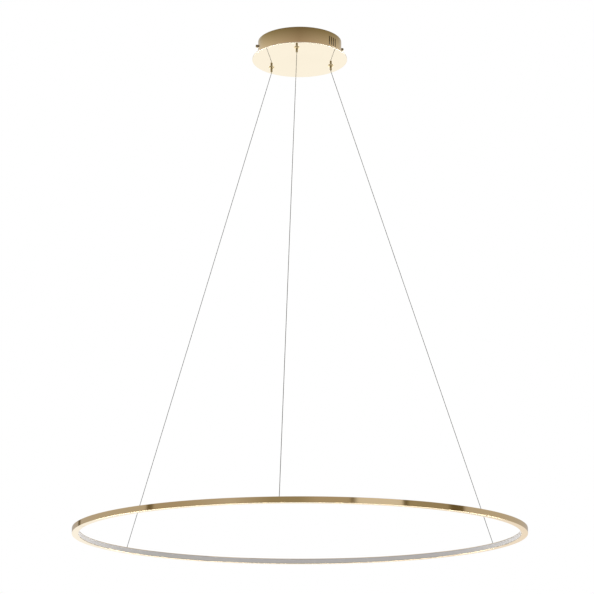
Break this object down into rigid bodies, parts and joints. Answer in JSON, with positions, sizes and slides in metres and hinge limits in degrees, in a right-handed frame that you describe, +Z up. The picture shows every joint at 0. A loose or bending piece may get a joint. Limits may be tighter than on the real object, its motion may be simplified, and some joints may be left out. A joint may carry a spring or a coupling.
{
  "type": "ring pendant light",
  "caption": "Slim metal ring light with an inward-facing diffuser, hung on three thin wires from a round ceiling canopy.",
  "frame": {"origin": "centre of the bracket's two ceiling screw holes, on the ceiling plane", "axes": "+Z up, out of the bracket's top face into the ceiling; -Y towards the front wire; +X right"},
  "size_m": [0.8999, 0.8999, 1.048],
  "materials": {
    "gold_metal": "satin pale-gold anodised",
    "mirror_plate": "mirror polished, pale gold",
    "opal_diffuser": "opal white, satin",
    "circuit": "white solder resist",
    "led": "yellow phosphor, gloss",
    "bright_steel": "zinc plated",
    "brass_screw": "plain brass",
    "pale_brass": "pale-gold plated",
    "steel_fitting": "plain, satin",
    "steel_wire": "stranded, bright",
    "nylon": "nylon, satin",
    "terminal_plastic": "moulded, satin",
    "driver_plastic": "moulded, fine texture"
  },
  "bodies": {
    "canopy": {"canopy_drum": "gold_metal", "canopy_plate": "mirror_plate", "gripper_nuts": "bright_steel", "stud_nuts": "bright_steel", "bracket_strap": "bright_steel", "terminal_screws": "bright_steel", "earth_screw": "brass_screw", "gripper_body_front": "pale_brass", "gripper_plug_front": "pale_brass", "gripper_body_right": "pale_brass", "gripper_plug_right": "pale_brass", "gripper_body_left": "pale_brass", "gripper_plug_left": "pale_brass", "wire_front": "steel_wire", "wire_tail_front": "steel_wire", "wire_right": "steel_wire", "wire_tail_right": "steel_wire", "wire_left": "steel_wire", "wire_tail_left": "steel_wire", "terminal_block": "terminal_plastic", "driver_tray": "driver_plastic", "driver_lid": "driver_plastic"},
    "ring": {"ring_channel": "gold_metal", "ring_diffuser": "opal_diffuser", "led_strip": "circuit", "led_chips": "led", "splice_bar_upper": "bright_steel", "splice_bar_lower": "bright_steel", "wire_saddle_front": "steel_fitting", "wire_nipple_front": "steel_fitting", "wire_saddle_right": "steel_fitting", "wire_nipple_right": "steel_fitting", "wire_saddle_left": "steel_fitting", "wire_nipple_left": "steel_fitting"},
    "plunger_front": {"gripper_plunger_front": "pale_brass"},
    "plunger_right": {"gripper_plunger_right": "pale_brass"},
    "plunger_left": {"gripper_plunger_left": "pale_brass"},
    "side_washer_right": {"thumb_washer_right": "nylon"},
    "side_screw_right": {"thumb_screw_right": "pale_brass"},
    "side_washer_left": {"thumb_washer_left": "nylon"},
    "side_screw_left": {"thumb_screw_left": "pale_brass"}
  },
  "joints": [
    {"name": "ring_height", "type": "slide", "parent": "canopy", "child": "ring", "axis": [0, 0, 1], "range_m": [0, 0.45], "deforming": ["wire_front", "wire_right", "wire_left"]},
    {"name": "release_front", "type": "slide", "parent": "canopy", "child": "plunger_front", "axis": [0, 0, 1], "range_m": [0, 0.002], "stiffness_N_per_m": 800, "springref_m": -0.003},
    {"name": "release_right", "type": "slide", "parent": "canopy", "child": "plunger_right", "axis": [0, 0, 1], "range_m": [0, 0.002], "stiffness_N_per_m": 800, "springref_m": -0.003},
    {"name": "release_left", "type": "slide", "parent": "canopy", "child": "plunger_left", "axis": [0, 0, 1], "range_m": [0, 0.002], "stiffness_N_per_m": 800, "springref_m": -0.003},
    {"name": "side_screw_travel_right", "type": "slide", "parent": "canopy", "child": "side_washer_right", "axis": [0.9945, 0.1045, 0], "range_m": [0, 0.0045]},
    {"name": "side_screw_turn_right", "type": "hinge", "parent": "side_washer_right", "child": "side_screw_right", "pos_m": [0.08752, 0.0092, -0.012], "axis": [0.9945, 0.1045, 0], "range_deg": [0, 3240]},
    {"name": "side_screw_travel_left", "type": "slide", "parent": "canopy", "child": "side_washer_left", "axis": [-0.9945, -0.1045, 0], "range_m": [0, 0.0045]},
    {"name": "side_screw_turn_left", "type": "hinge", "parent": "side_washer_left", "child": "side_screw_left", "pos_m": [-0.08752, -0.0092, -0.012], "axis": [-0.9945, -0.1045, 0], "range_deg": [0, 3240]}
  ],
  "couplings": [
    {"joint": "side_screw_turn_right", "follows": "side_screw_travel_right", "rad_per_m": 12566},
    {"joint": "side_screw_turn_left", "follows": "side_screw_travel_left", "rad_per_m": 12566}
  ]
}
